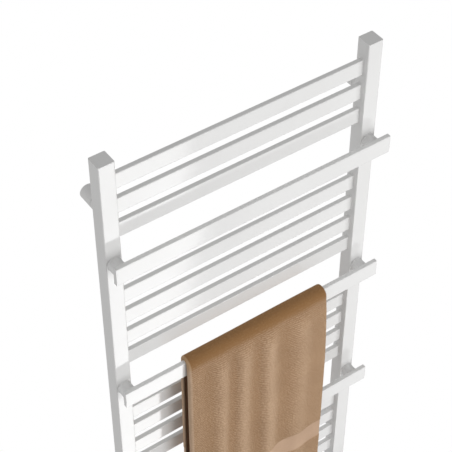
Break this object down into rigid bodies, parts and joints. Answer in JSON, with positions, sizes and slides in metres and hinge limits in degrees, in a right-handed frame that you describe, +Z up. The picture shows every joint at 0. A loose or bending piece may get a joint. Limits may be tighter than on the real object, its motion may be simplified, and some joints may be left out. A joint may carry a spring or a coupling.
{
  "type": "towel warmer rack",
  "caption": "Wall-hung towel warmer rack with square collectors, grouped flat crossbars, raised hanger rails, adjustable wall supports, a heating element with control head, and a draped towel.",
  "frame": {"origin": "on the wall's surface, at the middle of the four wall cups' backs", "axes": "+X to the right as seen from the room, +Y into the wall, +Z up"},
  "size_m": [0.56, 0.1113, 1.2544],
  "materials": {
    "enamel": "gloss white enamel",
    "steel": "machined",
    "nickel": "nickel plate",
    "case": "smooth moulded white",
    "key": "fine grain grey",
    "board": "solder resist",
    "lens": "clear amber",
    "terry": "tan terry cloth"
  },
  "bodies": {
    "wall_mounts": {"wall_cup_upper_left": "enamel", "set_screw_upper_left": "steel", "wall_cup_upper_right": "enamel", "set_screw_upper_right": "steel", "wall_cup_lower_left": "enamel", "set_screw_lower_left": "steel", "wall_cup_lower_right": "enamel", "set_screw_lower_right": "steel"},
    "rack": {"left_collector": "enamel", "left_top_cap": "enamel", "left_foot_cap": "enamel", "right_collector": "enamel", "right_top_cap": "enamel", "right_foot_cap": "enamel", "crossbar_01": "enamel", "crossbar_02": "enamel", "crossbar_03": "enamel", "crossbar_04": "enamel", "crossbar_05": "enamel", "crossbar_06": "enamel", "crossbar_07": "enamel", "crossbar_08": "enamel", "crossbar_09": "enamel", "crossbar_10": "enamel", "crossbar_11": "enamel", "crossbar_12": "enamel", "crossbar_13": "enamel", "crossbar_14": "enamel", "crossbar_15": "enamel", "hanger_rail_upper": "enamel", "rail_cap_upper_left": "enamel", "spacer_upper_left": "enamel", "rail_cap_upper_right": "enamel", "spacer_upper_right": "enamel", "hanger_rail_middle": "enamel", "rail_cap_middle_left": "enamel", "spacer_middle_left": "enamel", "rail_cap_middle_right": "enamel", "spacer_middle_right": "enamel", "hanger_rail_lower": "enamel", "rail_cap_lower_left": "enamel", "spacer_lower_left": "enamel", "rail_cap_lower_right": "enamel", "spacer_lower_right": "enamel", "wall_pin_upper_left": "enamel", "wall_pin_upper_right": "enamel", "wall_pin_lower_left": "enamel", "wall_pin_lower_right": "enamel", "vent_body": "nickel", "blanking_plug": "nickel", "heating_element": "steel", "control_housing": "case", "control_cover": "case", "circuit_board": "board", "indicator_lens": "lens", "cable_gland": "case"},
    "vent_screw": {"vent_screw": "nickel"},
    "control_dial": {"control_dial": "key"},
    "power_button": {"power_button": "key"},
    "towel": {"towel": "terry"}
  },
  "joints": [
    {"name": "wall_distance", "type": "slide", "parent": "wall_mounts", "child": "rack", "axis": [0, -1, 0], "range_m": [0, 0.012]},
    {"name": "vent_turn", "type": "hinge", "parent": "rack", "child": "vent_screw", "pos_m": [-0.26, -0.039, 0.5554], "axis": [0, 1, 0], "range_deg": [0, 180]},
    {"name": "dial_turn", "type": "hinge", "parent": "rack", "child": "control_dial", "pos_m": [0.26, -0.073, -0.611], "axis": [0, 1, 0], "range_deg": [-135, 135]},
    {"name": "button_press", "type": "slide", "parent": "rack", "child": "power_button", "axis": [0, 1, 0], "range_m": [0, 0.0015], "stiffness_N_per_m": 400, "springref_m": -0.001},
    {"name": "towel_slide", "type": "slide", "parent": "rack", "child": "towel", "axis": [1, 0, 0], "range_m": [-0.09, 0.08]}
  ]
}
